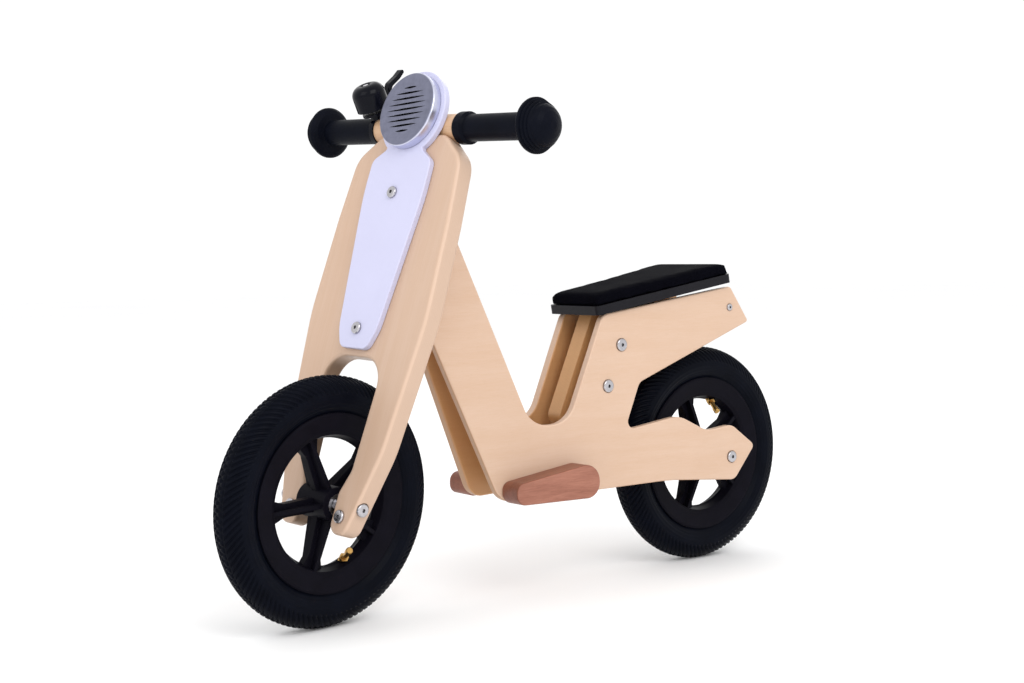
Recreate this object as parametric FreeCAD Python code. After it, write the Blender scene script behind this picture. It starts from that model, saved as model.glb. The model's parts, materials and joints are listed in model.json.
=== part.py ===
import FreeCAD, Part
import math
import os

# Balance bike for a small child: plywood frame, turned handlebar, 12-inch pneumatic wheels.
# Millimetres. +X is forward, +Y is the rider's left, +Z is up. The origin is on the floor,
# midway between the two tyres' contact points, on the frame's middle plane.

V = FreeCAD.Vector
AXIS_X = V(1, 0, 0)
AXIS_Y = V(0, 1, 0)
AXIS_Z = V(0, 0, 1)

# Overall layout
WHEELBASE = 617.0
WHEEL_RADIUS = 150.0
REAR_X = -WHEELBASE / 2
STEER_TILT = 18.8          # steering axis leans back from upright, degrees
STEER_SETBACK = 30.0       # steering axis lies this far behind the front wheel's centre
STEER_REST = 7.0           # the handlebar stands turned this far to the left, degrees

# Wheels
RIM_RADIUS = 107.0
BEAD_RADIUS = 101.6
RIM_OPENING = 76.0
RIM_HALF_WIDTH = 17.5
TYRE_HALF_WIDTH = 22.5
TYRE_WALL = 4.0
TUBE_WALL = 1.5
SPOKES = 5
HUB_RADIUS = 21.0
HUB_HALF_WIDTH = 26.0
BEARING_RADIUS = 13.0
BEARING_WIDTH = 8.0
AXLE_RADIUS = 5.0
RUNNING_GAP = 0.05
END_GAP = 0.3

# Side panels of the frame, which close up towards the steering head
PANEL_THICKNESS = 12.0
PANEL_SPLAY = 5.52         # each panel's angle to the middle plane, degrees
PANEL_HALF_WIDTH = 14.04   # half the width over the panels, at the front wheel's centre
EDGE_ROUND = 2.5

# Fork
FORK_THICKNESS = 25.0
FORK_FRONT = 10.0
FORK_BACK = FORK_FRONT - FORK_THICKNESS
FORK_ROUND = 5.0
SHIELD_THICKNESS = 8.0
SHIELD_HEAD_RADIUS = 54.5
SHIELD_HEAD_Z = 479.0
SHIELD_BOLT_Z = (378.0, 208.0)
LEG_BOLT_Y = 47.0
LEG_BOLT_Z = -13.0

# Handlebar
BAR_X = -7.5
BAR_Z = 468.0
BAR_RADIUS = 17.5
BAR_CORE_LEFT = 80.0
BAR_CORE_RIGHT = 87.0
BAR_END_RADIUS = 11.0
BAR_HALF = 206.0
GRIP_RADIUS = 16.3
GRIP_FLANGE_RADIUS = 32.5
GRIP_HALF = 216.5

# Bell on the right side of the handlebar
BELL_Y = -82.6
BELL_TILT = 45.0           # bell axis above the fork's forward direction, degrees
DOME_RADIUS = 21.2
DOME_RIM = 31.5            # height of the dome's rim over the bar's axis
DOME_SKIRT = 18.5
DOME_HEIGHT = 31.0
DOME_WALL = 1.8

# Steering head
BLOCK_RADIUS = 14.4
BLOCK_LOW = 264.0
BLOCK_HIGH = 355.0
PANEL_FRONT = -50.0
BUSH_FLANGE = 1.7
BRACKET = 4.0
PIN_RADIUS = 5.0

# Seat
SEAT_SLOPE = 9.5           # seat rises towards the back, degrees
SEAT_FRONT_X = -82.0
SEAT_REAR_X = -311.0
SEAT_HALF_FRONT = 49.0
SEAT_HALF_REAR = 71.0
SEAT_CORNER = 6.0
SEAT_Z = 391.5             # underside, above the rear axle
SEAT_BASE_THICKNESS = 12.0
CUSHION_THICKNESS = 13.0
CUSHION_INSET = 1.5
SEAT_TRAVEL = 40.0
COLUMN_LEAN = 66.0         # seat column's angle from level, degrees
POST_HALF = 12.5
POST_DEPTH = 72.0
POST_FOOT = (-42.0, 211.0)   # front lower corner of the seat post
SEAT_BOLTS = ((-125.5, 314.0), (-101.5, 261.0))

FOOTREST_SIDE = ((-58.0, 122.5, 20.0), (68.5, 123.5, 13.0), (68.5, 150.0, 12.0), (-58.0, 169.0, 21.0))
FOOTREST_DEPTH = 36.0
FOOTREST_SCREWS = ((36.0, 142.0), (-31.0, 146.0))
BOTTOM_SPACER = (3.0, 147.0)
TAIL_SCREW = (-312.5, 357.0)
HEAD_DOWELS = ((-68.0, 328.0), (-84.0, 284.0))
HEAD_DOWEL_RADIUS = 4.0
HEAD_WEDGE = ((PANEL_FRONT, BLOCK_LOW, 0), (-100.0, BLOCK_LOW, 0), (-100.0, 322.0, 6), (-70.0, BLOCK_HIGH, 6),
              (PANEL_FRONT, BLOCK_HIGH, 0))


def place(origin, axis, degrees):
    """Matrix that turns about an axis through the given point."""
    turn = FreeCAD.Placement(V(0, 0, 0), FreeCAD.Rotation(axis, degrees), origin)
    return turn.toMatrix()


def fork_matrix(steer):
    """From the fork's own frame (x ahead, y left, z up the fork, origin at the hub)."""
    tilt = FreeCAD.Placement(V(WHEELBASE / 2, 0, WHEEL_RADIUS),
                             FreeCAD.Rotation(AXIS_Y, -STEER_TILT)).toMatrix()
    return tilt.multiply(place(V(-STEER_SETBACK, 0, 0), AXIS_Z, steer))


def on_fork(shape):
    return shape.transformed(fork_matrix(STEER_REST), True)


def on_head(shape):
    """For frame pieces that are square to the steering axis but don't turn with it."""
    return shape.transformed(fork_matrix(0.0), True)


def mirrored(shape):
    return shape.mirror(V(0, 0, 0), AXIS_Y)


def cylinder(radius, start, direction, length):
    return Part.makeCylinder(radius, length, start, direction)


def across(radius, x, z, half):
    """Cylinder along Y, centred on the middle plane."""
    return cylinder(radius, V(x, -half, z), AXIS_Y, 2 * half)


def box(x0, x1, y0, y1, z0, z1):
    return Part.makeBox(x1 - x0, y1 - y0, z1 - z0, V(x0, y0, z0))


def rounded_wire(corners, to_point):
    """Closed outline of straight runs with a round at each corner: (u, v, radius)."""
    edges = []
    starts = []
    ends = []
    count = len(corners)
    for i, (u, v, radius) in enumerate(corners):
        here = V(u, v, 0)
        before = V(*corners[i - 1][:2], 0) - here
        after = V(*corners[(i + 1) % count][:2], 0) - here
        before.normalize()
        after.normalize()
        half_angle = before.getAngle(after) / 2
        cut = radius / math.tan(half_angle)
        middle = before + after
        middle.normalize()
        bulge = radius / math.sin(half_angle) - radius
        starts.append(here + before * cut)
        ends.append(here + after * cut)
        arc = [starts[-1], here + middle * bulge, ends[-1]]
        if radius > 0:
            edges.append(Part.Arc(*[to_point(p.x, p.y) for p in arc]).toShape())
        else:
            edges.append(None)
    outline = []
    for i in range(count):
        if edges[i]:
            outline.append(edges[i])
        following = starts[(i + 1) % count]
        if (following - ends[i]).Length > 1e-6:
            run = Part.LineSegment(to_point(ends[i].x, ends[i].y), to_point(following.x, following.y))
            outline.append(run.toShape())
    return Part.Wire(outline)


def slab(corners, thickness, to_point, direction):
    return Part.Face(rounded_wire(corners, to_point)).extrude(direction * thickness)


def round_rims(solid, radius, normal):
    """Rounds the edges around the two large faces that are square to the normal."""
    rims = []
    for face in solid.Faces:
        flat = face.Surface.TypeId == "Part::GeomPlane"
        if flat and abs(abs(face.normalAt(0, 0).dot(normal)) - 1) < 1e-6:
            rims.extend(face.OuterWire.Edges)
    return solid.makeFillet(radius, rims)


def revolved(profile, axis_point, axis):
    """Solid of revolution from a closed list of points."""
    face = Part.Face(Part.makePolygon(list(profile) + [profile[0]]))
    return face.revolve(axis_point, axis, 360)


def lathe(points):
    """Turned piece on the Y axis, from (y, radius) points; the profile closes on the axis."""
    profile = [V(radius, y, 0) for y, radius in points]
    return revolved(profile, V(0, 0, 0), AXIS_Y)


def bolt(head, direction, length, radius=3.0, head_radius=8.0, head_height=3.6, socket=2.5):
    """Button-head bolt: the head's underside is at the given point, the shank runs along."""
    back = direction * -1
    solid = cylinder(head_radius, head, back, head_height)
    top = [e for e in solid.Edges if abs((e.CenterOfMass - head).dot(back) - head_height) < 1e-6]
    solid = solid.makeFillet(head_height * 0.55, top)
    solid = solid.fuse(cylinder(radius, head, direction, length))
    hexagon = hexagon_prism(head + back * (head_height - 2.0), back, socket, 3.0)
    return solid.cut(hexagon).removeSplitter()


def hexagon_prism(start, direction, radius, length):
    side = direction.cross(V(0.3, 0.2, 0.9))
    side.normalize()
    other = direction.cross(side)
    points = []
    for i in range(7):
        angle = math.radians(60 * i)
        points.append(start + side * (radius * math.cos(angle)) + other * (radius * math.sin(angle)))
    return Part.Face(Part.makePolygon(points)).extrude(direction * length)


def cap_nut(seat, direction, height=5.0, radius=7.0, bore=3.0):
    """Round cap nut that sits on the given point and closes away from it."""
    solid = cylinder(radius, seat, direction, height)
    far = [e for e in solid.Edges if abs((e.CenterOfMass - seat).dot(direction) - height) < 1e-6]
    solid = solid.makeFillet(height * 0.5, far)
    return solid.cut(cylinder(bore, seat, direction, height - 1.5))


def panel_reach(x):
    """Half the width over the panels, at x in the fork's frame."""
    return PANEL_HALF_WIDTH - x * math.tan(math.radians(PANEL_SPLAY))


def head_coordinates(x, z):
    """A point of the side view in the fork's frame, with the steering straight ahead."""
    back = fork_matrix(0.0).inverse().multVec(V(x, 0, z))
    return back.x, back.z


PIVOT_X = PANEL_HALF_WIDTH / math.tan(math.radians(PANEL_SPLAY))


def panel_point(x, z):
    """A point of the side view, laid out on the flat left panel before it is splayed."""
    ahead, up = head_coordinates(x, z)
    flat = PIVOT_X - (PIVOT_X - ahead) / math.cos(math.radians(PANEL_SPLAY))
    return V(flat, 0, up)


def splayed(shape):
    """Turns a flat left-hand piece out to its splayed place on the frame."""
    turn = place(V(PIVOT_X, 0, 0), AXIS_Z, -PANEL_SPLAY)
    return shape.transformed(fork_matrix(0.0).multiply(turn), True)


def panel_space():
    """Everything outside the two inner faces of the side panels."""
    side = splayed(box(-900, PIVOT_X + 50, -PANEL_THICKNESS, 200, -300, 700))
    return side.fuse(mirrored(side))


PANEL_OUTLINE = (
    (137.7, 496.4, 12), (179.0, 375.3, 10), (71.0, 124.5, 28), (-198.5, 127.5, 400),
    (-313.5, 117.5, 14), (-351.5, 163.0, 7), (-311.0, 194.5, 20), (-266.5, 189.5, 34),
    (-219.0, 213.5, 44), (-127.5, 200.5, 9), (-154.0, 262.5, 14), (-346.5, 336.5, 3.5),
    (-315.5, 386.0, 7), (-97.0, 355.5, 16), (-36.5, 217.0, 38), (20.0, 217.0, 38),
)


def side_panel():
    """Left panel: down tube, seat column, tail and rear stay cut from one board."""
    flat = slab(PANEL_OUTLINE, PANEL_THICKNESS, panel_point, V(0, -1, 0))
    flat = round_rims(flat, EDGE_ROUND, AXIS_Y)
    panel = splayed(flat)
    holes = [across(4.0, x, z, 120) for x, z in SEAT_BOLTS]
    holes.append(across(AXLE_RADIUS, REAR_X, WHEEL_RADIUS, 120))
    holes.append(across(2.0, TAIL_SCREW[0], TAIL_SCREW[1], 120))
    holes.append(head_dowels())
    for x, z in FOOTREST_SCREWS:
        holes.append(across(3.0, x, z, 120))
    for hole in holes:
        panel = panel.cut(hole)
    for seat in spot_faces():
        panel = panel.cut(seat)
    return panel


def bolt_reach(x, z):
    """How far out a bolt head sits on the splayed panel at a place in the side view."""
    ahead = head_coordinates(x, z)[0]
    return panel_reach(ahead) - 1.2


def spot_faces():
    """Shallow flats for the bolt heads, square to the bolts, on the left panel."""
    faces = []
    places = [(x, z, 9.0) for x, z in SEAT_BOLTS] + [(REAR_X, WHEEL_RADIUS, 8.6)]
    for x, z, radius in places:
        faces.append(cylinder(radius, V(x, bolt_reach(x, z), z), AXIS_Y, 10))
    x, z = TAIL_SCREW
    faces.append(cylinder(5.4, V(x, tail_screw_seat(), z), AXIS_Y, 10))
    return faces


def tail_screw_seat():
    return bolt_reach(*TAIL_SCREW) + 0.6


def footrest():
    """Left footrest: a hardwood block, deeper towards its rear end, on the panel's outer face."""
    block = round_rims(slab(FOOTREST_SIDE, FOOTREST_DEPTH, panel_point, AXIS_Y), 2.0, AXIS_Y)
    block = splayed(block)
    for x, z in FOOTREST_SCREWS:
        block = block.cut(across(3.0, x, z, bolt_reach(x, z) + 22))
    return block


def footrest_screws():
    """Left pair, driven from inside the frame through the panel into the footrest."""
    screws = []
    for x, z in FOOTREST_SCREWS:
        inner = bolt_reach(x, z) + 1.2 - PANEL_THICKNESS - 0.6
        screws.append(bolt(V(x, inner, z), AXIS_Y, 32, head_radius=6.0))
    return Part.makeCompound(screws + [mirrored(s) for s in screws])


def between_panels(shape):
    """Trims a cross piece to the splayed inner faces of the panels."""
    return shape.cut(panel_space())


def tail_spacer():
    x, z = TAIL_SCREW
    block = box(x - 11, x + 15, -90, 90, z - 9, z + 9)
    block = block.cut(across(2.0, x, z, 120))
    keep = box(x - 20, x + 20, -28, 28, z - 20, z + 20)
    return between_panels(block.fuse(keep.common(block)).removeSplitter())


def tail_screws():
    """A pair of wood screws that hold the tail spacer, with pan heads."""
    x, z = TAIL_SCREW
    screw = bolt(V(x, tail_screw_seat(), z), V(0, -1, 0), 36, radius=2.0, head_radius=4.8, head_height=2.4, socket=1.6)
    return Part.makeCompound([screw, mirrored(screw)])


def bottom_spacer():
    """Beech block between the panels behind the footrests."""
    x, z = BOTTOM_SPACER
    return between_panels(box(x - 18, x + 18, -70, 70, z - 13, z + 13))


def head_block():
    """Steering head: a wedge held between the panels, round and bored at the front."""
    body = cylinder(BLOCK_RADIUS, V(-STEER_SETBACK, 0, BLOCK_LOW), AXIS_Z, BLOCK_HIGH - BLOCK_LOW)
    shoulder = panel_reach(PANEL_FRONT) - 0.6
    body = body.fuse(box(PANEL_FRONT, -STEER_SETBACK, -BLOCK_RADIUS, BLOCK_RADIUS, BLOCK_LOW, BLOCK_HIGH))
    wedge = slab(HEAD_WEDGE, 2 * shoulder, lambda x, z: V(x, -shoulder, z), AXIS_Y)
    body = body.fuse(wedge)
    body = body.removeSplitter()
    body = on_head(body).cut(panel_space_behind_head())
    bore = cylinder(PIN_RADIUS + 1.5, V(-STEER_SETBACK, 0, BLOCK_LOW - 5), AXIS_Z, 120)
    cups = [cylinder(9.0, V(-STEER_SETBACK, 0, z), AXIS_Z, 14) for z in (BLOCK_LOW, BLOCK_HIGH - 14)]
    for hole in [bore] + cups:
        body = body.cut(on_head(hole))
    return body.cut(head_dowels())


def panel_space_behind_head():
    """The panels' own space, ending at their front edge."""
    front = on_head(box(PANEL_FRONT, 200, -200, 200, -300, 700))
    return panel_space().cut(front)


def head_bushings():
    """Flanged nylon bushes at the two ends of the head block's bore."""
    bushes = []
    for z, step in ((BLOCK_LOW, -1), (BLOCK_HIGH, 1)):
        away = AXIS_Z * step
        centre = V(-STEER_SETBACK, 0, z)
        bush = cylinder(9.0, centre, away * -1, 14).fuse(cylinder(13.0, centre, away, BUSH_FLANGE))
        hole = cylinder(PIN_RADIUS + RUNNING_GAP, centre + away * 10, away * -1, 40)
        bushes.append(on_head(bush.removeSplitter().cut(hole)))
    return Part.makeCompound(bushes)


def head_dowels():
    """Two blind hardwood dowels across the head block and into both panels."""
    dowels = []
    for x, z in HEAD_DOWELS:
        dowels.append(on_head(across(HEAD_DOWEL_RADIUS, x, z, panel_reach(x) - 3.0)))
    return Part.makeCompound(dowels)


def seat_bolts():
    """Clamp bolts through both panels, the guides and the slots of the seat post."""
    bolts = []
    for x, z in SEAT_BOLTS:
        reach = bolt_reach(x, z)
        bolts.append(bolt(V(x, reach, z), V(0, -1, 0), 2 * reach + 3.0, radius=4.0, head_radius=8.5))
    return Part.makeCompound(bolts)


def seat_nuts():
    nuts = []
    for x, z in SEAT_BOLTS:
        nuts.append(cap_nut(V(x, -bolt_reach(x, z), z), V(0, -1, 0), radius=8.0, bore=4.0))
    return Part.makeCompound(nuts)


def column_point(x, z, along):
    """Moves a side-view point up the seat column."""
    angle = math.radians(COLUMN_LEAN)
    return x - along * math.cos(angle), z + along * math.sin(angle)


def seat_guides():
    """A hardwood cheek each side, between the seat post and the panel, on the clamp bolts."""
    (xa, za), (xb, zb) = SEAT_BOLTS
    top = column_point(xa, za, 26)
    low = column_point(xb, zb, -20)
    corners = ((low[0] - 20, low[1], 6), (low[0] + 18, low[1], 6),
               (top[0] + 18, top[1], 6), (top[0] - 20, top[1], 6))
    cheek = slab(corners, 60, lambda x, z: V(x, POST_HALF + END_GAP, z), AXIS_Y)
    for x, z in SEAT_BOLTS:
        cheek = cheek.cut(across(4.0, x, z, 120))
    left = between_panels(cheek)
    return Part.makeCompound([left, mirrored(left)])


def seat_under(x):
    """Height of the seat's underside."""
    return SEAT_Z - (x - REAR_X) * math.tan(math.radians(SEAT_SLOPE))


def seat_post():
    """Board that slides between the guides, with a slot for each clamp bolt."""
    foot_x, foot_z = POST_FOOT
    rise = (seat_under(-110.0) - foot_z) / math.sin(math.radians(COLUMN_LEAN))
    top_front = column_point(foot_x, foot_z, rise)
    top_rear = column_point(foot_x - POST_DEPTH, foot_z, rise)
    corners = ((foot_x - POST_DEPTH, foot_z, 12), (foot_x, foot_z, 12),
               (top_front[0], seat_under(top_front[0]) - 0.01, 0),
               (top_rear[0], seat_under(top_rear[0]) - 0.01, 0))
    board = slab(corners, 2 * POST_HALF, lambda x, z: V(x, -POST_HALF, z), AXIS_Y)
    for x, z in SEAT_BOLTS:
        board = board.cut(slot(x, z))
    batten = seat_batten_space()
    return board.cut(batten)


def slot(x, z):
    """Slot that lets the post rise by the seat's travel past a clamp bolt."""
    low = column_point(x, z, -SEAT_TRAVEL)
    radius = 4.3
    normal = V(math.sin(math.radians(COLUMN_LEAN)), 0, math.cos(math.radians(COLUMN_LEAN))) * radius
    a = V(x, -40, z)
    b = V(low[0], -40, low[1])
    wire = Part.makePolygon([a + normal, b + normal, b - normal, a - normal, a + normal])
    straight = Part.Face(wire).extrude(AXIS_Y * 80)
    return straight.fuse([across(radius, x, z, 40), across(radius, low[0], low[1], 40)])


def seat_plane(corners, thickness, lift):
    """Board parallel to the seat: plan corners (x, y, radius), lifted above the underside."""
    turn = place(V(REAR_X, 0, 0), AXIS_Y, SEAT_SLOPE)
    flat = slab(corners, thickness, lambda x, y: V(x, y, 0), AXIS_Z)
    flat.translate(V(0, 0, lift))
    board = flat.transformed(turn, True)
    board.translate(V(0, 0, SEAT_Z))
    return board


def seat_batten_space():
    corners = ((-236, -26, 4), (-112, -26, 4), (-112, 26, 4), (-236, 26, 4))
    return seat_plane(corners, 14, -14)


def seat_batten():
    """Cross board between post and seat, which the seat is screwed to."""
    return seat_batten_space().cut(seat_screw_holes())


def seat_screw_places():
    return [(x, y) for x in (-226.0, -122.0) for y in (-19.0, 19.0)]


def seat_screw_holes():
    turn = place(V(REAR_X, 0, 0), AXIS_Y, SEAT_SLOPE)
    holes = []
    for x, y in seat_screw_places():
        hole = cylinder(2.0, V(x, y, -40), AXIS_Z, 48).transformed(turn, True)
        hole.translate(V(0, 0, SEAT_Z))
        holes.append(hole)
    return Part.makeCompound(holes)


def seat_screws():
    turn = place(V(REAR_X, 0, 0), AXIS_Y, SEAT_SLOPE)
    screws = []
    for x, y in seat_screw_places():
        screw = bolt(V(x, y, -14), AXIS_Z, 20, radius=2.0, head_radius=4.5, head_height=2.2, socket=1.5)
        screw = screw.transformed(turn, True)
        screw.translate(V(0, 0, SEAT_Z))
        screws.append(screw)
    return Part.makeCompound(screws)


def seat_plan(inset):
    front = SEAT_FRONT_X - inset
    rear = SEAT_REAR_X + inset
    half_rear = SEAT_HALF_REAR - inset
    half_front = SEAT_HALF_FRONT - inset
    plan = ((rear, -half_rear), (front, -half_front), (front, half_front), (rear, half_rear))
    return [(x, y, SEAT_CORNER) for x, y in plan]


def seat_base():
    """Upholstered base board, the lower tier of the seat."""
    return seat_plane(seat_plan(0.0), SEAT_BASE_THICKNESS, 0.0).cut(seat_screw_holes())


def seat_cushion():
    return seat_plane(seat_plan(CUSHION_INSET), CUSHION_THICKNESS, SEAT_BASE_THICKNESS)


def rim_profile():
    """Half section of the rim, (y, radius), from the channel's middle outwards."""
    return ((0.0, 95.0), (6.0, 95.0), (9.0, BEAD_RADIUS - 1.2), (15.6, BEAD_RADIUS), (15.6, RIM_RADIUS),
            (RIM_HALF_WIDTH, RIM_RADIUS), (18.2, 104.0), (15.5, 86.0), (13.0, 81.0), (4.0, 78.0), (0.0, RIM_OPENING))


def rim(phase, valve_gap):
    """Moulded wheel: rim, hub and ribbed spokes in one piece, on the Y axis."""
    half = rim_profile()
    points = list(half) + [(-y, r) for y, r in reversed(half[1:-1])]
    ring = lathe(points)
    hub = across(HUB_RADIUS, 0, 0, HUB_HALF_WIDTH)
    wheel = ring.fuse(hub)
    corners = ((15, -8.5, 0), (62, -8.0, 14), (82, -16, 0), (82, 16, 0), (62, 8.0, 14), (15, 8.5, 0))
    web = slab(corners, 10, lambda x, z: V(x, -5, z), AXIS_Y)
    rib = slab(((15, -21, 0), (84, -12, 0), (84, 12, 0), (15, 21, 0)), 5, lambda x, y: V(x, y, -2.5), AXIS_Z)
    spoke = web.fuse(rib)
    for i in range(SPOKES):
        wheel = wheel.fuse(spoke.rotated(V(0, 0, 0), AXIS_Y, -(phase + 72.0 * i)))
    wheel = wheel.cut(across(AXLE_RADIUS + 3.0, 0, 0, 40))
    for side in (-1, 1):
        start = V(0, side * HUB_HALF_WIDTH, 0)
        wheel = wheel.cut(cylinder(BEARING_RADIUS, start, AXIS_Y * -side, BEARING_WIDTH))
    outward = valve_frame(phase, valve_gap)[0]
    wheel = wheel.cut(cylinder(7.6, outward * 66, outward, 20))
    return wheel.cut(cylinder(4.0, outward * 70, outward, 35)).removeSplitter()


def bearings():
    """One ball bearing at each end of the hub, as closed rings."""
    rings = []
    for side in (-1, 1):
        start = V(0, side * HUB_HALF_WIDTH, 0)
        ring = cylinder(BEARING_RADIUS, start, AXIS_Y * -side, BEARING_WIDTH)
        groove = cylinder(11.0, start, AXIS_Y * -side, 0.6).cut(cylinder(7.5, start, AXIS_Y * -side, 0.6))
        ring = ring.cut(groove)
        rings.append(ring.cut(across(AXLE_RADIUS + RUNNING_GAP, 0, 0, 60)))
    return Part.makeCompound(rings)


def tyre_section(inset):
    """Closed wire of the tyre's section, drawn in from its outer skin."""
    wide = TYRE_HALF_WIDTH - inset
    crown = WHEEL_RADIUS - inset
    toe = 15.4 - inset
    waist = 128.0

    def at(y, radius):
        return V(radius, y, 0)

    shoulder = 0.7071
    upper = crown - waist
    left = Part.Arc(at(toe, 108.5), at(wide * 0.93, 117.0), at(wide, waist)).toShape()
    corner = Part.Arc(at(wide, waist), at(wide * shoulder, waist + upper * shoulder), at(0, crown)).toShape()
    corner_b = Part.Arc(at(0, crown), at(-wide * shoulder, waist + upper * shoulder), at(-wide, waist)).toShape()
    right = Part.Arc(at(-wide, waist), at(-wide * 0.93, 117.0), at(-toe, 108.5)).toShape()
    beads = Part.makePolygon([at(-toe, 108.5), at(-toe, BEAD_RADIUS), at(toe, BEAD_RADIUS), at(toe, 108.5)])
    return Part.Wire([left, corner, corner_b, right] + beads.Edges)


def tyre():
    """Pneumatic tyre: a hollow casing with its beads in the rim."""
    outer = Part.Face(tyre_section(0.0)).revolve(V(0, 0, 0), AXIS_Y, 360)
    inner = Part.Face(tyre_section(TYRE_WALL)).revolve(V(0, 0, 0), AXIS_Y, 360)
    return outer.cut(inner)


def inner_tube():
    """Thin-walled inflated tube, filling the casing above the rim's bead seat."""
    skins = []
    for inset in (0.0, TUBE_WALL):
        ring = Part.Face(tyre_section(TYRE_WALL + 0.4 + inset)).revolve(V(0, 0, 0), AXIS_Y, 360)
        skins.append(ring.cut(across(BEAD_RADIUS + 1.5 + inset, 0, 0, 60)))
    return skins[0].cut(skins[1])


VALVE_ARM = 22.0


def valve(phase, gap):
    """Angled brass valve that stands into the rim's opening between two spokes."""
    outward, side = valve_frame(phase, gap)
    stem = cylinder(3.9, outward * 80, outward, BEAD_RADIUS + 1.4 - 80)
    elbow = Part.makeSphere(5.0, outward * 79)
    arm = cylinder(3.2, outward * 79, side, VALVE_ARM)
    nut = hexagon_prism(outward * 79 + side * 4.6, side, 6.0, 4.0)
    stem = stem.fuse([elbow, arm, nut]).cut(cylinder(1.6, outward * 79, side, 30))
    return stem.removeSplitter()


def valve_frame(phase, gap):
    """The valve's directions, midway in the given gap between spokes."""
    angle = math.radians(phase + 72.0 * (gap + 0.5))
    outward = V(math.cos(angle), 0, math.sin(angle))
    side = (V(0, 0.78, 0) - outward * 0.62)
    side.normalize()
    return outward, side


def valve_cap(phase, gap):
    outward, side = valve_frame(phase, gap)
    start = outward * 79 + side * VALVE_ARM
    cap = cylinder(4.2, start, side, 7)
    far = [e for e in cap.Edges if abs((e.CenterOfMass - start).dot(side) - 7) < 1e-6]
    return cap.makeFillet(1.2, far).fuse(cylinder(1.6, start - side * 6, side, 7)).removeSplitter()


def rear_place(shape):
    moved = shape.copy()
    moved.translate(V(REAR_X, 0, WHEEL_RADIUS))
    return moved


def rear_axle():
    reach = bolt_reach(REAR_X, WHEEL_RADIUS)
    return axle(reach)


def axle(half):
    """Steel axle, tapped at both ends."""
    rod = across(AXLE_RADIUS, 0, 0, half)
    for side in (-1, 1):
        rod = rod.cut(cylinder(3.0, V(0, side * half, 0), AXIS_Y * -side, 22))
    return rod


def axle_bolts(half):
    screw = bolt(V(0, half, 0), V(0, -1, 0), 20)
    return Part.makeCompound([screw, mirrored(screw)])


def axle_spacers(inner_half, trim=None):
    """Tubes between the wheel's bearings and the frame or fork."""
    start = HUB_HALF_WIDTH + END_GAP
    tube = cylinder(8.0, V(0, start, 0), AXIS_Y, inner_half - start)
    tube = tube.cut(across(AXLE_RADIUS, 0, 0, 100))
    return tube if trim is None else tube.cut(trim)


def rear_spacers():
    space = panel_space()
    space.translate(V(-REAR_X, 0, -WHEEL_RADIUS))
    tube = axle_spacers(75.0, space)
    return Part.makeCompound([tube, mirrored(tube)])


def front_spacers():
    tube = axle_spacers(LEG_INNER)
    return Part.makeCompound([tube, mirrored(tube)])


LEG_INNER = 31.5
LEG_REACH = 70.5
FORK_LEFT = (
    (0.0, 455.0, 0), (57.0, 455.0, 24), (95.0, 424.0, 34), (102.5, 345.0, 300), (108.0, 225.0, 260),
    (91.5, 68.0, 150), (61.0, -34.0, 15), (31.5, -34.0, 13), (LEG_INNER, 14.0, 22), (44.5, 42.0, 24),
    (51.0, 175.5, 33), (0.0, 175.5, 0),
)


def fork_plate():
    """One thick board: shoulders, two legs, and a saddle for the handlebar on top."""
    left = list(FORK_LEFT)
    right = [(-y, z, r) for y, z, r in reversed(left) if y > 0]
    corners = left[1:-1] + right
    plate = slab(corners, FORK_THICKNESS, lambda y, z: V(FORK_BACK, y, z), AXIS_X)
    plate = round_rims(plate, FORK_ROUND, AXIS_X)
    plate = plate.cut(across(BAR_RADIUS, BAR_X, BAR_Z, 150))
    plate = plate.cut(across(AXLE_RADIUS, 0, 0, 100))
    for side in (-1, 1):
        plate = plate.cut(cylinder(8.8, V(0, side * LEG_REACH, 0), AXIS_Y * side, 30))
        plate = plate.cut(cylinder(3.0, V(-30, side * LEG_BOLT_Y, LEG_BOLT_Z), AXIS_X, 60))
    for z in SHIELD_BOLT_Z:
        plate = plate.cut(cylinder(3.0, V(-30, 0, z), AXIS_X, 60))
    for y, z in bracket_screw_places():
        plate = plate.cut(cylinder(2.0, V(FORK_BACK - 1, y, z), AXIS_X, 15))
    return on_fork(plate)


SHIELD_LEFT = (
    (31.0, 442.0, 0), (33.0, 432.5, 5), (53.5, 419.0, 13), (54.5, 375.0, 300), (35.0, 208.0, 60),
    (24.0, 183.5, 12),
)


def front_shield():
    """Painted shield on the fork's front, with a round head behind the lamp cover."""
    right = [(-y, z, r) for y, z, r in reversed(SHIELD_LEFT)]
    front = V(FORK_FRONT, 0, 0)
    body = slab(list(SHIELD_LEFT) + right, SHIELD_THICKNESS, lambda y, z: V(FORK_FRONT, y, z), AXIS_X)
    head = cylinder(SHIELD_HEAD_RADIUS, front + V(0, 0, SHIELD_HEAD_Z), AXIS_X, SHIELD_THICKNESS)
    shield = body.fuse(head).removeSplitter()
    shield = round_rims(shield, 1.5, AXIS_X)
    for z in SHIELD_BOLT_Z:
        shield = shield.cut(cylinder(3.0, V(-30, 0, z), AXIS_X, 60))
    for y in (-1, 1):
        shield = shield.cut(cylinder(2.5, V(0, y * BAR_BOLT_Y, BAR_Z), AXIS_X, 60))
    return on_fork(shield)


def shield_bolts():
    face = FORK_FRONT + SHIELD_THICKNESS
    bolts = [bolt(V(face, 0, z), V(-1, 0, 0), 36.0 - shank_stop(z), head_radius=7.5) for z in SHIELD_BOLT_Z]
    return on_fork(Part.makeCompound(bolts))


def shank_stop(z):
    """The upper bolt also passes the steering bracket, so its nut sits further back."""
    return 0.0 if z == SHIELD_BOLT_Z[1] else -BRACKET


def shield_nuts():
    nuts = []
    for z in SHIELD_BOLT_Z:
        nuts.append(cap_nut(V(FORK_BACK + shank_stop(z), 0, z), V(-1, 0, 0), height=6.0))
    return on_fork(Part.makeCompound(nuts))


LAMP_RADIUS = 47.0
LAMP_DEPTH = 12.5
LAMP_SLOTS = 9
SLOT_PITCH = 7.0


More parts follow.
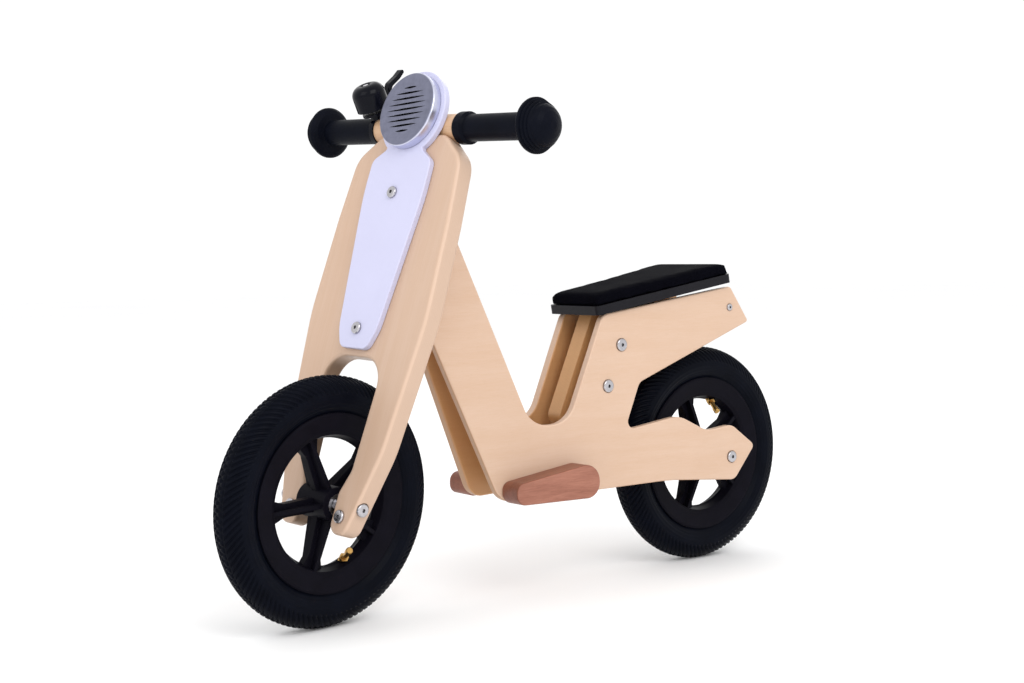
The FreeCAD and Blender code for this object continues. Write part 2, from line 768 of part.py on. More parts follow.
def lamp_cover():
    """Satin metal cover shaped like a round lamp, with a field of lens-shaped slots."""
    face = FORK_FRONT + SHIELD_THICKNESS
    centre = V(face, 0, SHIELD_HEAD_Z + 1)
    cup = cylinder(LAMP_RADIUS, centre, AXIS_X, LAMP_DEPTH)
    front = [e for e in cup.Edges if abs(e.CenterOfMass.x - face - LAMP_DEPTH) < 1e-6]
    cup = cup.makeFillet(2.2, front)
    cup = cup.cut(cylinder(LAMP_RADIUS - 3.0, centre, AXIS_X, LAMP_DEPTH - 2.5))
    for offset, half in lamp_slots():
        cup = cup.cut(lens(offset, half, face))
    turned = cup.transformed(place(centre, AXIS_X, 4.7), True)
    return on_fork(turned)


def lamp_slots():
    """Each slot's distance from the middle and its half length."""
    middle = (LAMP_SLOTS - 1) / 2
    slots = []
    for i in range(LAMP_SLOTS):
        offset = (i - middle) * SLOT_PITCH
        slots.append((offset, 34.5 * math.sqrt(1 - (offset / 29.7) ** 2)))
    return slots


def lens(offset, half, face):
    z = SHIELD_HEAD_Z + 1 + offset
    a = V(face, -half, z)
    b = V(face, half, z)
    up = Part.Arc(a, V(face, 0, z + 1.4), b).toShape()
    down = Part.Arc(b, V(face, 0, z - 1.4), a).toShape()
    return Part.Face(Part.Wire([up, down])).extrude(V(30, 0, 0))


def lamp_insert():
    """Black backing disc inside the lamp cover."""
    centre = V(FORK_FRONT + SHIELD_THICKNESS, 0, SHIELD_HEAD_Z + 1)
    return on_fork(cylinder(LAMP_RADIUS - 3.4, centre, AXIS_X, LAMP_DEPTH - 4.5))


BAR_BOLT_Y = 32.0
BAR_BOLT_SEAT = BAR_X - BAR_RADIUS + 1.6


def handlebar():
    """Turned wooden bar: a thick middle in the fork's saddle and thin ends in the grips."""
    points = []
    for side, core in ((-1, BAR_CORE_RIGHT), (1, BAR_CORE_LEFT)):
        end = [(BAR_HALF, 0.0), (BAR_HALF, BAR_END_RADIUS - 1.5), (BAR_HALF - 1.5, BAR_END_RADIUS),
               (core, BAR_END_RADIUS), (core, BAR_RADIUS - 1), (core - 1, BAR_RADIUS)]
        points.extend([(side * y, r) for y, r in end[::-side]])
    bar = lathe(points)
    bar.translate(V(BAR_X, 0, BAR_Z))
    for side in (-1, 1):
        bar = bar.cut(cylinder(2.5, V(-40, side * BAR_BOLT_Y, BAR_Z), AXIS_X, 60))
        bar = bar.cut(cylinder(6.4, V(BAR_BOLT_SEAT, side * BAR_BOLT_Y, BAR_Z), V(-1, 0, 0), 20))
    return on_fork(bar)


def handlebar_bolts():
    """Two long bolts through the bar, from behind into the round head of the shield."""
    bolts = []
    for side in (-1, 1):
        head = V(BAR_BOLT_SEAT, side * BAR_BOLT_Y, BAR_Z)
        bolts.append(bolt(head, AXIS_X, 39.0, radius=2.5, head_radius=6.0, head_height=3.0, socket=2.0))
    return on_fork(Part.makeCompound(bolts))


GRIP_STEPS = ((181.0, 18.5), (182.5, 25.0), (184.5, 29.5), (186.5, 31.8), (188.0, GRIP_FLANGE_RADIUS),
              (190.6, GRIP_FLANGE_RADIUS), (191.3, 30.4), (194.4, 30.4), (195.1, 28.3), (198.2, 28.3),
              (198.9, 26.4), (202.0, 26.4), (202.7, 24.8), (206.0, 23.6), (209.5, 20.8), (213.0, 15.5), (215.5, 9.0))


def grip(side):
    """Rubber grip with a stepped safety mushroom; the left one has a collar."""
    start = BAR_CORE_LEFT if side > 0 else BAR_CORE_RIGHT
    outside = [(start, BAR_END_RADIUS), (start, GRIP_RADIUS)]
    if side > 0:
        outside = [(start - 14, BAR_RADIUS + 0.01), (start - 14, 18.4), (start - 12, 19.8), (start - 1, 19.8),
                   (start + 2, GRIP_RADIUS)]
    outside.append((GRIP_STEPS[0][0] - 0.8, GRIP_RADIUS))
    outside.extend(GRIP_STEPS)
    outside.append((GRIP_HALF, 5.0))
    inside = [(GRIP_HALF, 0.0), (BAR_HALF, 0.0), (BAR_HALF, BAR_END_RADIUS)]
    if side > 0:
        inside.extend([(start, BAR_END_RADIUS), (start, BAR_RADIUS + 0.01)])
    points = [(side * y, r) for y, r in outside + inside]
    sleeve = lathe(points)
    sleeve.translate(V(BAR_X, 0, BAR_Z))
    return on_fork(sleeve)


def bracket_screw_places():
    return [(y, z) for z in (372.0, 240.0) for y in (-15.0, 15.0)]


def steering_bracket(low, high):
    """Angle bracket on the fork's back; its shelf holds one end of the steering pin."""
    shelf_z = low if high > BLOCK_HIGH else high - BRACKET
    flange = box(FORK_BACK - BRACKET, FORK_BACK, -22, 22, low, high)
    shelf = box(-STEER_SETBACK, FORK_BACK, -15, 15, shelf_z, shelf_z + BRACKET)
    shelf = shelf.fuse(cylinder(15, V(-STEER_SETBACK, 0, shelf_z), AXIS_Z, BRACKET))
    bracket = flange.fuse(shelf).removeSplitter()
    bracket = bracket.cut(cylinder(PIN_RADIUS, V(-STEER_SETBACK, 0, low - 5), AXIS_Z, 80))
    for y, z in bracket_screw_places():
        bracket = bracket.cut(cylinder(2.0, V(-40, y, z), AXIS_X, 40))
    bracket = bracket.cut(cylinder(3.0, V(-40, 0, SHIELD_BOLT_Z[0]), AXIS_X, 40))
    return on_fork(bracket)


UPPER_SHELF = BLOCK_HIGH + 2.0
LOWER_SHELF = BLOCK_LOW - 2.0


def bracket_screws():
    screws = []
    for y, z in bracket_screw_places():
        head = V(FORK_BACK - BRACKET, y, z)
        screws.append(bolt(head, AXIS_X, 17, radius=2.0, head_radius=4.2, head_height=2.4, socket=1.5))
    return on_fork(Part.makeCompound(screws))


def steering_pin():
    head = V(-STEER_SETBACK, 0, UPPER_SHELF + BRACKET)
    shank = UPPER_SHELF + BRACKET - (LOWER_SHELF - BRACKET) + 6.5
    return on_fork(bolt(head, V(0, 0, -1), shank, radius=PIN_RADIUS, head_radius=9.0, head_height=5.0, socket=3.5))


def steering_nut():
    seat = V(-STEER_SETBACK, 0, LOWER_SHELF - BRACKET)
    nut = hexagon_prism(seat, V(0, 0, -1), 9.0, 9.0)
    return on_fork(nut.cut(cylinder(PIN_RADIUS, seat, V(0, 0, -1), 7.0)))


def leg_bolts():
    bolts = [bolt(V(FORK_FRONT, side * LEG_BOLT_Y, LEG_BOLT_Z), V(-1, 0, 0), FORK_THICKNESS + 3)
             for side in (-1, 1)]
    return on_fork(Part.makeCompound(bolts))


def leg_nuts():
    nuts = [cap_nut(V(FORK_BACK, side * LEG_BOLT_Y, LEG_BOLT_Z), V(-1, 0, 0)) for side in (-1, 1)]
    return on_fork(Part.makeCompound(nuts))


def bell_frame(shape):
    """From the bell's own frame: z along its axis from the bar's axis, x towards the rider."""
    turn = FreeCAD.Placement(V(BAR_X, BELL_Y, BAR_Z), FreeCAD.Rotation(AXIS_Y, 90 - BELL_TILT))
    back = FreeCAD.Placement(V(0, 0, 0), FreeCAD.Rotation(AXIS_Z, 180))
    return on_fork(shape.transformed(turn.multiply(back).toMatrix(), True))


def bell_clamp():
    """Strap around the bar with a short stem and the round base plate of the bell."""
    strap = across(BAR_RADIUS + 1.8, 0, 0, 3.5)
    stem = cylinder(8.0, V(0, 0, 10), AXIS_Z, 16).fuse(cylinder(16.5, V(0, 0, 24), AXIS_Z, 3))
    lug = box(12, 22, -5.5, 5.5, 23, 27).fuse(cylinder(3.8, V(20.5, -5.5, 27), AXIS_Y, 11))
    body = strap.fuse([stem, lug]).removeSplitter()
    body = body.cut(across(BAR_RADIUS, 0, 0, 40))
    body = body.cut(box(14, 40, -3.3, 3.3, 22, 50))
    body = body.cut(cylinder(1.2, V(20.5, -10, 27), AXIS_Y, 20))
    return bell_frame(body.cut(cylinder(1.5, V(0, 0, 19), AXIS_Z, 20)))


def bell_pin():
    return bell_frame(cylinder(1.2, V(20.5, -5.5, 27), AXIS_Y, 11))


def dome_skin(inset, overrun):
    """Dome drawn in from its outer skin: straight skirt, round crown, dimple for the screw."""
    radius = DOME_RADIUS - inset
    bend = DOME_RIM + DOME_SKIRT
    top = DOME_RIM + DOME_HEIGHT - inset
    foot = DOME_RIM - overrun
    side = Part.LineSegment(V(radius, 0, foot), V(radius, 0, bend)).toShape()
    middle = V(8.0 + (radius - 8.0) * 0.74, 0, bend + (top - bend) * 0.69)
    crown = Part.Arc(V(radius, 0, bend), middle, V(8.0, 0, top)).toShape()
    dimple = Part.makePolygon([V(8.0, 0, top), V(6.4, 0, top - 0.5), V(4.8, 0, top - 2.2), V(0, 0, top - 2.2),
                               V(0, 0, foot), V(radius, 0, foot)])
    return Part.Face(Part.Wire([side, crown] + dimple.Edges)).revolve(V(0, 0, 0), AXIS_Z, 360)


def bell_dome():
    """Deep sounding dome, open underneath."""
    dome = dome_skin(0.0, 0.0).cut(dome_skin(DOME_WALL, 1.0))
    return bell_frame(dome.cut(cylinder(1.5, V(0, 0, 20), AXIS_Z, 60)))


def bell_post():
    """Screw and post that hold the dome on its base."""
    seat = DOME_RIM + DOME_HEIGHT - 2.2
    post = cylinder(3.0, V(0, 0, 27), AXIS_Z, seat - DOME_WALL - 27)
    post = post.fuse(cylinder(1.5, V(0, 0, 19), AXIS_Z, seat + 0.5 - 19))
    return bell_frame(post.fuse(cylinder(3.6, V(0, 0, seat), AXIS_Z, 1.8)).removeSplitter())


def bell_lever():
    """Thumb lever on its pin, with the striker arm that reaches under the dome."""
    arm = ((22.2, 24.2, 0), (28.8, 36.0, 5), (37.0, 45.0, 8), (52.0, 48.6, 8), (62.5, 53.4, 2.2), (61.5, 58.2, 2.2),
           (49.0, 53.6, 8), (33.0, 50.0, 7), (24.8, 38.5, 4), (21.6, 29.8, 0))
    lever = slab(arm, 6.0, lambda x, z: V(x, -3.0, z), AXIS_Y)
    pad = slab(arm, 8.4, lambda x, z: V(x, -4.2, z), AXIS_Y)
    lever = lever.fuse(pad.common(box(30, 70, -5, 5, 30, 70)))
    lever = lever.fuse(cylinder(3.6, V(20.5, -3.0, 27), AXIS_Y, 6))
    lever = lever.fuse(box(11.5, 20, -2, 2, 28.2, 30.0))
    lever = lever.fuse(cylinder(2.4, V(14.2, 0, 28.2), AXIS_Z, 5.4)).removeSplitter()
    return bell_frame(lever.cut(cylinder(1.2 + RUNNING_GAP, V(20.5, -10, 27), AXIS_Y, 20)))


def build():
    """Every piece of the bike, by name."""
    front_phase = STEER_TILT * -1 - 2.0
    rear_phase = 2.0
    left = side_panel()
    rest = footrest()
    front_axle_half = LEG_REACH
    rear_half = bolt_reach(REAR_X, WHEEL_RADIUS)
    return {
        "side_panel_left": left,
        "side_panel_right": mirrored(left),
        "head_block": head_block(),
        "head_bushings": head_bushings(),
        "head_dowels": head_dowels(),
        "tail_spacer": tail_spacer(),
        "tail_screws": tail_screws(),
        "bottom_spacer": bottom_spacer(),
        "footrest_left": rest,
        "footrest_right": mirrored(rest),
        "footrest_screws": footrest_screws(),
        "seat_guides": seat_guides(),
        "seat_bolts": seat_bolts(),
        "seat_nuts": seat_nuts(),
        "rear_axle": rear_place(axle(rear_half)),
        "rear_axle_bolts": rear_place(axle_bolts(rear_half)),
        "rear_axle_spacers": rear_place(rear_spacers()),
        "seat_post": seat_post(),
        "seat_batten": seat_batten(),
        "seat_base": seat_base(),
        "seat_cushion": seat_cushion(),
        "seat_screws": seat_screws(),
        "rear_rim": rear_place(rim(rear_phase, 1)),
        "rear_tyre": rear_place(tyre()),
        "rear_tube": rear_place(inner_tube()),
        "rear_bearings": rear_place(bearings()),
        "rear_valve": rear_place(valve(rear_phase, 1)),
        "rear_valve_cap": rear_place(valve_cap(rear_phase, 1)),
        "fork_plate": fork_plate(),
        "front_shield": front_shield(),
        "shield_bolts": shield_bolts(),
        "shield_nuts": shield_nuts(),
        "lamp_cover": lamp_cover(),
        "lamp_insert": lamp_insert(),
        "handlebar": handlebar(),
        "handlebar_bolts": handlebar_bolts(),
        "grip_left": grip(1),
        "grip_right": grip(-1),
        "steering_bracket_upper": steering_bracket(UPPER_SHELF, UPPER_SHELF + 34),
        "steering_bracket_lower": steering_bracket(LOWER_SHELF - 34, LOWER_SHELF),
        "bracket_screws": bracket_screws(),
        "steering_pin": steering_pin(),
        "steering_nut": steering_nut(),
        "front_axle": on_fork(axle(front_axle_half)),
        "front_axle_bolts": on_fork(axle_bolts(front_axle_half)),
        "front_axle_spacers": on_fork(front_spacers()),
        "leg_bolts": leg_bolts(),
        "leg_nuts": leg_nuts(),
        "bell_clamp": bell_clamp(),
        "bell_pin": bell_pin(),
        "bell_dome": bell_dome(),
        "bell_post": bell_post(),
        "bell_lever": bell_lever(),
        "front_rim": on_fork(rim(front_phase, -2)),
        "front_tyre": on_fork(tyre()),
        "front_tube": on_fork(inner_tube()),
        "front_bearings": on_fork(bearings()),
        "front_valve": on_fork(valve(front_phase, -2)),
        "front_valve_cap": on_fork(valve_cap(front_phase, -2)),
    }


os.makedirs("parts", exist_ok=True)
for node, shape in build().items():
    shape.exportStep("parts/" + node + ".step")
    print(node, shape.isValid(), len(shape.Solids), round(shape.Volume / 1000, 2), "cm3")
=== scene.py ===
import json
import math

import bpy
import numpy as np
from mathutils import Matrix, Vector


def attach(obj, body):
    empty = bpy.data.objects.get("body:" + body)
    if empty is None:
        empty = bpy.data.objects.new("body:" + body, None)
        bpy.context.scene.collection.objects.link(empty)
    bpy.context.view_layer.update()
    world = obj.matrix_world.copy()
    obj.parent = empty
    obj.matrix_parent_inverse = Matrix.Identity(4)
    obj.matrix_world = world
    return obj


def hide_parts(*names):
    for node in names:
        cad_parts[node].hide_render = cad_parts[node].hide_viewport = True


# The balance bike's looks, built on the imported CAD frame. Metres, row frame.

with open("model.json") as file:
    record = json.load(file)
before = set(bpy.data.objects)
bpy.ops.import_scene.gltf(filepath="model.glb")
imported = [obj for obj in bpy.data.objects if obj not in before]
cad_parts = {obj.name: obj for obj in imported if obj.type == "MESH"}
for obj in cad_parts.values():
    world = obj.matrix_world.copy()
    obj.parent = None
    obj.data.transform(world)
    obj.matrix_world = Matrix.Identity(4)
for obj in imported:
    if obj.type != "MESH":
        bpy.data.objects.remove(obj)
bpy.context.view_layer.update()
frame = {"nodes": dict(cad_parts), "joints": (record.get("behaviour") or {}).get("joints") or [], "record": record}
NODES = frame["nodes"]
JOINTS = {j["name"]: j for j in frame["joints"]}
SLOT_OF = {s["node"]: s["material_slot"] for s in frame["record"]["subparts"]}

# The fork's own directions: up the fork, to its left, and ahead, with the hub as origin
FORK_UP = Vector(JOINTS["steering"]["axis"]).normalized()
FORK_LEFT = Vector(JOINTS["front_wheel_spin"]["axis"]).normalized()
FORK_AHEAD = FORK_LEFT.cross(FORK_UP)
HUB = Vector(JOINTS["front_wheel_spin"]["pos_m"])
REAR_HUB = Vector(JOINTS["rear_wheel_spin"]["pos_m"])
SEAT_UP = Vector(frame["record"]["mounts"][0]["axis"])
AHEAD = Vector((1, 0, 0))
CROSS = Vector((0, 1, 0))
UP = Vector((0, 0, 1))


# ---------------------------------------------------------------- materials

class Graph:
    """A short way to write a node material."""

    def __init__(self, name):
        self.mat = bpy.data.materials.new(name)
        self.mat.use_nodes = True
        self.nt = self.mat.node_tree
        self.shader = self.nt.nodes["Principled BSDF"]

    def node(self, kind, **values):
        made = self.nt.nodes.new(kind)
        for key, value in values.items():
            setattr(made, key, value)
        return made

    def put(self, socket, value):
        if isinstance(value, bpy.types.NodeSocket):
            self.nt.links.new(value, socket)
        elif value is not None:
            socket.default_value = value

    def math(self, operation, a, b=None):
        made = self.node("ShaderNodeMath", operation=operation)
        for socket, value in zip(made.inputs, (a, b)):
            self.put(socket, value)
        return made.outputs[0]

    def vector(self, operation, a, b):
        made = self.node("ShaderNodeVectorMath", operation=operation)
        self.put(made.inputs[0], a)
        self.put(made.inputs[1], b)
        return made.outputs["Value" if operation == "DOT_PRODUCT" else "Vector"]

    def combine(self, x, y, z):
        made = self.node("ShaderNodeCombineXYZ")
        for socket, value in zip(made.inputs, (x, y, z)):
            self.put(socket, value)
        return made.outputs[0]

    def split(self, vector):
        made = self.node("ShaderNodeSeparateXYZ")
        self.put(made.inputs[0], vector)
        return made.outputs

    def local(self, origin, x, y, z):
        """Object coordinates seen from another frame."""
        moved = self.vector("SUBTRACT", self.place(), tuple(origin))
        return self.combine(*[self.vector("DOT_PRODUCT", moved, tuple(axis)) for axis in (x, y, z)])

    def times(self, a, b):
        return self.math("MULTIPLY", a, b)

    def plus(self, a, b):
        return self.math("ADD", a, b)

    def stretch(self, parts, scales):
        """A vector from three values, each multiplied by its own scale."""
        return self.combine(*[self.times(part, scale) for part, scale in zip(parts, scales)])

    def place(self):
        return self.node("ShaderNodeTexCoord").outputs["Object"]

    def looks(self, direction):
        """How far the surface looks along a direction, from -1 to 1."""
        normal = self.node("ShaderNodeTexCoord").outputs["Normal"]
        return self.vector("DOT_PRODUCT", normal, tuple(direction))

    def noise(self, vector, scale, detail=4.0, rough=0.5):
        made = self.node("ShaderNodeTexNoise")
        self.put(made.inputs["Vector"], vector)
        self.put(made.inputs["Scale"], scale)
        self.put(made.inputs["Detail"], detail)
        self.put(made.inputs["Roughness"], rough)
        return made.outputs["Fac"]

    def span(self, value, low, high, to_low=0.0, to_high=1.0):
        made = self.node("ShaderNodeMapRange", clamp=True)
        for socket, v in zip(made.inputs[:5], (value, low, high, to_low, to_high)):
            self.put(socket, v)
        return made.outputs[0]

    def mix(self, factor, a, b, blend="MIX"):
        made = self.node("ShaderNodeMix", data_type="RGBA", blend_type=blend)
        self.put(made.inputs[0], factor)
        self.put(made.inputs[6], a if isinstance(a, bpy.types.NodeSocket) else (*a, 1.0))
        self.put(made.inputs[7], b if isinstance(b, bpy.types.NodeSocket) else (*b, 1.0))
        return made.outputs[2]

    def bump(self, height, distance, strength=1.0, round_edges=0.0):
        made = self.node("ShaderNodeBump")
        self.put(made.inputs["Strength"], strength)
        self.put(made.inputs["Distance"], distance)
        self.put(made.inputs["Height"], height)
        if round_edges:
            self.put(made.inputs["Normal"], self.rounded(round_edges))
        self.put(self.shader.inputs["Normal"], made.outputs[0])

    def rounded(self, radius):
        made = self.node("ShaderNodeBevel", samples=4)
        self.put(made.inputs["Radius"], radius)
        return made.outputs[0]

    def finish(self, **sockets):
        for key, value in sockets.items():
            self.put(self.shader.inputs[key.replace("_", " ")], value)
        return self.mat


def srgb(r, g, b):
    """Linear colour from 0-255 display values."""
    return tuple(((v / 255 + 0.055) / 1.055) ** 2.4 if v > 10 else v / 255 / 12.92 for v in (r, g, b))


def shade(colour, factor, offset=0.0):
    """A colour multiplied and lifted."""
    return tuple(c * factor + offset for c in colour)


def layered_edge(g, colour, light, dark, grain, through, layers, calm):
    """A plywood sheet's layers on its sides, and a painted highlight band along its roundings."""
    x, y, z = grain
    facing = g.math("ABSOLUTE", g.looks(through))
    ply = g.span(g.math("PINGPONG", z, layers), layers * 0.42, layers * 0.58)
    end = g.noise(g.stretch((x, y, z), (900.0, 900.0, 300.0)), 1.0, 2.0)
    layered = g.mix(g.plus(g.times(ply, 0.30), g.times(end, 0.30)), light, shade(dark, 0.80))
    layered = g.mix(calm, layered, light)
    colour = g.mix(g.span(facing, 0.75, 0.35), colour, layered)
    # Painted highlight: a lighter band where the sides round over into the faces.
    painted_highlight_band = g.times(g.span(facing, 0.97, 0.80), g.span(facing, 0.30, 0.55))
    return g.mix(g.times(painted_highlight_band, calm), colour, shade(light, 1.10))


def wood(name, light, dark, origin, axes, layers=0.0, streak=0.5, gloss=0.42, calm=0.0,
         inside=None, rim=None):
    """Lacquered wood, from its grain's own directions: along, across, and through the board.
    layers is a plywood sheet's layer thickness, and calm is how little its layers show and how strong the painted
    highlight along its roundings is.
    inside is a painted shade tint for the inner faces, which look back across the middle, and the direction
    across.
    rim is a tint for the faces around a board's edge, and the side that they look to, or None: with a side it is
    painted shade on the edges that look that way, and with None it is the edge's own darker colour all round."""
    g = Graph(name)
    through = axes[2]
    place = g.local(origin, *axes)
    x, y, z = g.split(place)
    wander = g.noise(g.stretch((x, y, z), (3.0, 14.0, 1.0)), 1.0, 2.0)
    shifted = g.plus(y, g.times(wander, 0.05))
    bands = g.noise(g.stretch((x, shifted, z), (1.6, 70.0, 70.0)), 1.0, 3.0)
    fibre = g.noise(g.stretch((x, y, z), (14.0, 620.0, 620.0)), 1.0, 3.0, 0.6)
    pore = g.noise(g.stretch((x, y, z), (90.0, 2200.0, 2200.0)), 1.0, 1.0)
    tone = g.plus(g.times(g.span(bands, 0.35, 0.68), 0.55), g.times(g.span(fibre, 0.3, 0.7), 0.45))
    colour = g.mix(g.times(tone, streak), light, dark)
    flecks = g.times(g.span(pore, 0.64, 0.74), 0.22 * streak + 0.04)
    colour = g.mix(flecks, colour, shade(dark, 0.55))
    if layers:
        colour = layered_edge(g, colour, light, dark, (x, y, z), through, layers, calm)
    blotch = g.noise(place, 9.0, 2.0)
    colour = g.mix(g.span(blotch, 0.3, 0.7, 0.0, 0.10), colour, shade(dark, 0.82))
    # Darker edge faces: painted shade where a side is given, the edge's own colour where it is None.
    if rim:
        tint, side = rim
        edge_colour_and_shade = g.span(g.math("ABSOLUTE", g.looks(through)), 0.9, 0.5)
        if side:
            edge_colour_and_shade = g.times(edge_colour_and_shade, g.span(g.looks(side), 0.05, 0.35))
        colour = g.mix(edge_colour_and_shade, colour, tint, "MULTIPLY")
    # Painted shade: the inner faces, which look back across the middle, are tinted darker and warmer.
    if inside:
        tint, left = inside
        offset = g.vector("DOT_PRODUCT", g.vector("SUBTRACT", g.place(), tuple(origin)), tuple(left))
        painted_inner_shade = g.times(g.math("SIGN", offset), g.looks(left))
        colour = g.mix(g.span(painted_inner_shade, -0.4, -0.8), colour, tint, "MULTIPLY")
    g.bump(g.plus(g.times(fibre, 0.6), g.times(pore, -0.4)), 0.00012, 0.35)
    return g.finish(Base_Color=colour, Roughness=g.plus(g.times(fibre, 0.10), gloss - 0.05),
                    Specular_IOR_Level=0.35, Coat_Weight=0.12, Coat_Roughness=0.28)


def rubber(name, colour, rough=0.55, grain=1400.0, specular=0.25, height=0.00006, round_edges=0.0):
    """Moulded rubber or plastic with a fine grain and faint marks."""
    g = Graph(name)
    place = g.place()
    fine = g.noise(place, grain, 2.0)
    broad = g.noise(place, 38.0, 3.0, 0.6)
    tint = g.mix(g.span(broad, 0.3, 0.75), colour, shade(colour, 1.6))
    dust = g.span(g.noise(place, 160.0, 4.0, 0.7), 0.62, 0.8, 0.0, 0.10)
    tint = g.mix(dust, tint, shade(colour, 3.5, 0.002))
    g.bump(fine, height, 0.5, round_edges)
    return g.finish(Base_Color=tint, Roughness=g.span(broad, 0.2, 0.8, rough - 0.06, rough + 0.08),
                    Specular_IOR_Level=specular)


SOCKET_DEPTH = 0.004       # metres: how far a metal looks around for the walls of a socket, for the painted shade in it


def metal(name, colour, rough=0.28, brushed=None, round_edges=0.0003, wall=None):
    """Bare or plated metal, with painted shade in its sockets.
    brushed is three directions, the first of them along the brushing; without it the grain is even.
    wall is a lighter colour, a painted highlight, for the sides of a piece that faces along the third direction."""
    g = Graph(name)
    place = g.place()
    if brushed:
        fine = [Vector(axis) * scale for axis, scale in zip(brushed, (40.0, 2600.0, 2600.0))]
        lines = g.noise(g.local(HUB, *fine), 1.0, 3.0)
    else:
        lines = g.noise(place, 1800.0, 2.0)
    worn = g.noise(place, 120.0, 3.0, 0.6)
    tint = g.mix(g.span(worn, 0.35, 0.75), colour, shade(colour, 0.80))
    # Painted highlight: the sides that do not face along the third direction get the lighter wall colour.
    if wall:
        tint = g.mix(g.span(g.looks(brushed[2]), 0.96, 0.7), tint, wall)
    # Painted shade: ambient occlusion darkens the metal in its sockets and crevices.
    socket_shade = g.node("ShaderNodeAmbientOcclusion", samples=8)
    g.put(socket_shade.inputs["Distance"], SOCKET_DEPTH)
    tint = g.mix(g.span(socket_shade.outputs["AO"], 0.25, 0.75), shade(colour, 0.04), tint)
    g.bump(lines, 0.00003, 0.5, round_edges)
    level = g.plus(g.times(lines, 0.10), g.span(worn, 0.3, 0.7, rough - 0.08, rough + 0.06))
    return g.finish(Base_Color=tint, Metallic=1.0, Roughness=level)


def paint(name, colour, rough=0.32, peel=0.00004, round_edges=0.0, specular=0.4):
    """Sprayed paint with a faint orange peel."""
    g = Graph(name)
    place = g.place()
    skin = g.noise(place, 420.0, 2.0)
    tone = g.noise(place, 16.0, 3.0)
    tint = g.mix(g.span(tone, 0.3, 0.7), colour, shade(colour, 0.975))
    g.bump(skin, peel, 0.4, round_edges)
    return g.finish(Base_Color=tint, Roughness=g.span(tone, 0.2, 0.8, rough - 0.03, rough + 0.05),
                    Specular_IOR_Level=specular)


def vinyl(name, colour, rough, specular):
    """Leather-grained vinyl, with painted shade in the grain's creases."""
    g = Graph(name)
    place = g.place()
    cells = g.node("ShaderNodeTexVoronoi", feature="DISTANCE_TO_EDGE")
    g.put(cells.inputs["Vector"], place)
    g.put(cells.inputs["Scale"], 620.0)
    crease = g.span(cells.outputs["Distance"], 0.0, 0.22)
    fold = g.noise(place, 26.0, 4.0, 0.6)
    face = g.mix(g.span(fold, 0.3, 0.7), colour, shade(colour, 1.5))
    # Painted shade: the grain's creases are darkened to half.
    tint = g.mix(crease, shade(colour, 0.5), face)
    g.bump(g.plus(crease, g.times(fold, 3.0)), 0.00010, 0.5)
    return g.finish(Base_Color=tint, Roughness=g.span(fold, 0.2, 0.8, rough - 0.05, rough + 0.08),
                    Specular_IOR_Level=specular)


# Grain directions: along, across, and through the board
FORK_AXES = (FORK_UP, FORK_LEFT, FORK_AHEAD)
BAR_AXES = (FORK_LEFT, FORK_UP, FORK_AHEAD)
PANEL_AXES = (AHEAD, UP, CROSS)
UPRIGHT_AXES = (UP, AHEAD, CROSS)
PLY_LAYER = 0.00125

MATS = {
    # Fork ply: painted shade on the inner faces of its legs.
    "fork_ply": wood("fork_ply", srgb(198, 170, 149), srgb(184, 148, 119), HUB, FORK_AXES,
                     PLY_LAYER, 0.4, calm=0.8, inside=((0.62, 0.58, 0.53), FORK_LEFT)),
    "post_ply": wood("post_ply", srgb(200, 154, 106), srgb(172, 122, 74), REAR_HUB, UPRIGHT_AXES,
                     PLY_LAYER, 0.45, calm=0.3),
    # Panel ply: painted shade on its inner faces and on the edges that look down.
    "plywood": wood("panel_ply", srgb(208, 179, 157), srgb(194, 156, 124), REAR_HUB, PANEL_AXES,
                    PLY_LAYER, 0.4, calm=0.7, inside=((0.86, 0.66, 0.40), CROSS),
                    rim=((0.78, 0.66, 0.52), -UP)),
    "bar_wood": wood("bar_wood", srgb(206, 172, 140), srgb(182, 138, 98), HUB, BAR_AXES,
                     streak=0.7, gloss=0.38),
    "inner_wood": wood("inner_wood", srgb(176, 134, 92), srgb(140, 94, 54), REAR_HUB, UPRIGHT_AXES,
                       streak=0.6),
    "footrest_wood": wood("footrest_wood", srgb(170, 114, 94), srgb(120, 68, 50), REAR_HUB, PANEL_AXES,
                          streak=0.9, gloss=0.45, rim=((0.72, 0.60, 0.50), None)),
    "shield_paint": paint("shield_paint", srgb(194, 194, 220)),
    # Satin metal: a painted highlight on its sides.
    "satin_metal": metal("satin_metal", srgb(128, 130, 150), 0.30, BAR_AXES, 0.0006, srgb(206, 208, 226)),
    "black_backing": rubber("black_backing", srgb(9, 9, 14), 0.7, specular=0.05),
    "grip_rubber": rubber("grip_rubber", srgb(8, 10, 18), 0.40, specular=0.04),
    "tyre_rubber": rubber("tyre_rubber", srgb(6, 8, 16), 0.40, specular=0.04),
    "tube_rubber": rubber("tube_rubber", srgb(12, 12, 14), 0.6),
    "rim_plastic": rubber("rim_plastic", srgb(11, 10, 17), 0.45, 900.0, 0.04, 0.00005, 0.0012),
    "bearing_steel": metal("bearing_steel", srgb(180, 180, 184), 0.3),
    "bolt_steel": metal("bolt_steel", srgb(190, 188, 192), 0.20),
    "bracket_steel": paint("bracket_steel", srgb(22, 22, 26), 0.45, 0.00006, 0.0005),
    "nylon": paint("nylon", srgb(226, 222, 210), 0.5, 0.00004, 0.0003),
    "brass": metal("brass", srgb(196, 156, 92), 0.3),
    "seat_vinyl": vinyl("seat_vinyl", srgb(9, 9, 15), 0.6, 0.004),
    "seat_lip": vinyl("seat_lip", srgb(20, 19, 25), 0.34, 0.16),
    "bell_black": paint("bell_black", srgb(10, 11, 19), 0.16, 0.00003, 0.0005, 0.10),
}
# Nodes that look different from the rest of their material slot
OWN_LOOK = {"fork_plate": "fork_ply", "seat_post": "post_ply", "seat_base": "seat_lip"}


